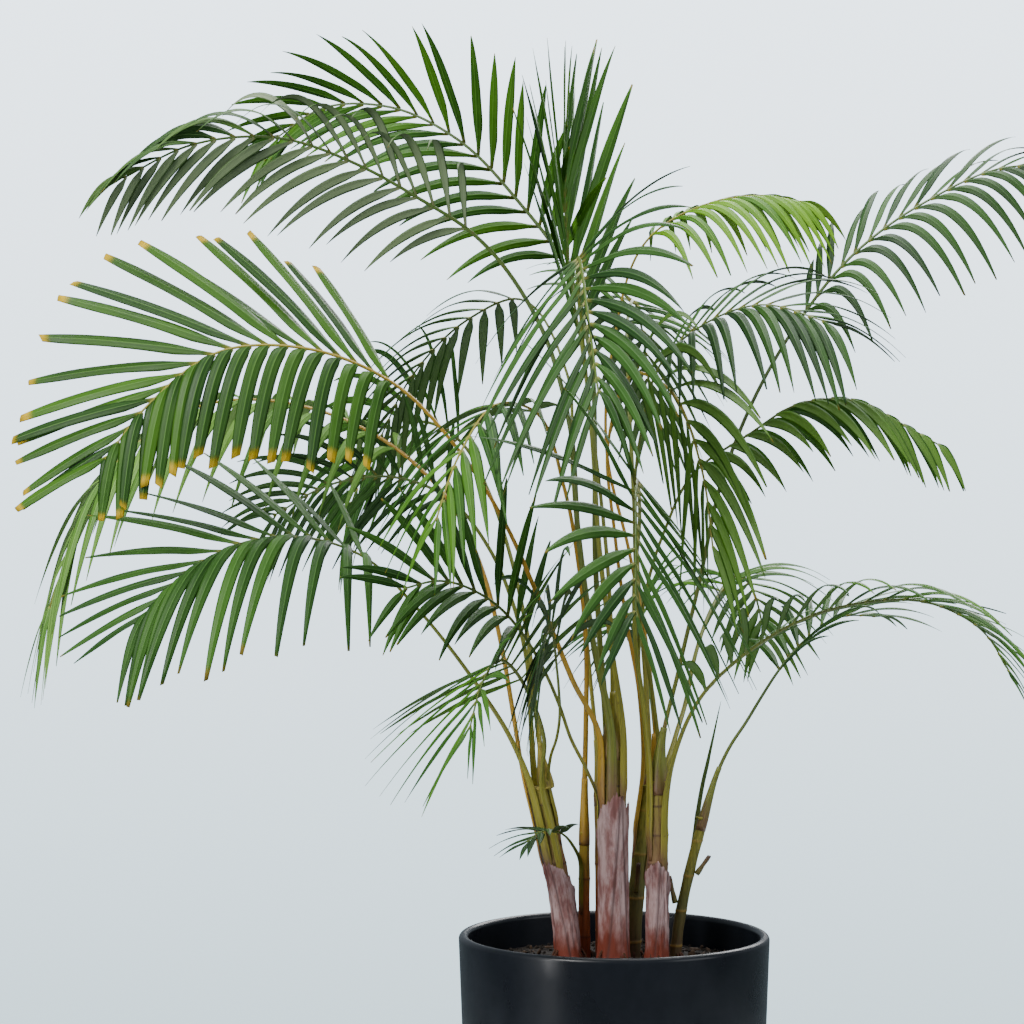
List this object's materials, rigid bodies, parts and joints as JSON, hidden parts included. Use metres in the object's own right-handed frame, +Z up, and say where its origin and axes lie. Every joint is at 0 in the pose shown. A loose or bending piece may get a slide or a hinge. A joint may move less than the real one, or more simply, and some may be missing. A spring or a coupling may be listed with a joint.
{
  "type": "potted palm",
  "caption": "Feather-leaved palm with several canes and arching fronds, standing in a plain round black pot of soil.",
  "frame": {"origin": "centre of the pot's flat underside, on the floor", "axes": "+Z up, -Y the plant's front, +X to its right seen from the front"},
  "size_m": [1.1829, 0.8187, 1.2391],
  "materials": {
    "black_glaze": "satin",
    "potting_mix": "matte",
    "mauve_cane": "matte",
    "orange_shoot": "satin",
    "green_cane": "satin",
    "cut_stub": "matte",
    "papery_sheath": "matte",
    "green_leaf": "satin",
    "bright_leaf": "satin"
  },
  "bodies": {
    "root": {"cane_far_right": "green_cane", "cane_left": "mauve_cane", "cane_left_sheath": "papery_sheath", "cane_main": "mauve_cane", "cane_main_sheath": "papery_sheath", "cane_olive": "green_cane", "cane_right": "mauve_cane", "cane_right_sheath": "papery_sheath", "frond_back_high": "green_leaf", "frond_back_left": "green_leaf", "frond_back_low": "green_leaf", "frond_back_right": "green_leaf", "frond_centre_left": "green_leaf", "frond_centre_right": "green_leaf", "frond_crown": "green_leaf", "frond_far_right": "green_leaf", "frond_front_high": "green_leaf", "frond_front_low": "green_leaf", "frond_inner_left": "green_leaf", "frond_inner_right": "green_leaf", "frond_left_behind": "green_leaf", "frond_left_fan": "green_leaf", "frond_left_feathery": "green_leaf", "frond_left_great": "green_leaf", "frond_left_inner": "green_leaf", "frond_left_middle": "green_leaf", "frond_left_rising": "green_leaf", "frond_right_arched": "green_leaf", "frond_right_long": "green_leaf", "frond_right_low": "green_leaf", "frond_shoot_low": "green_leaf", "frond_top_left": "green_leaf", "frond_upper_left": "green_leaf", "frond_upper_right": "bright_leaf", "pot": "black_glaze", "shoot_back": "orange_shoot", "shoot_front": "orange_shoot", "soil": "potting_mix", "spear_leaf": "green_leaf", "stub_far_right_high": "cut_stub", "stub_far_right_low": "cut_stub", "stub_olive": "cut_stub"}
  },
  "joints": []
}
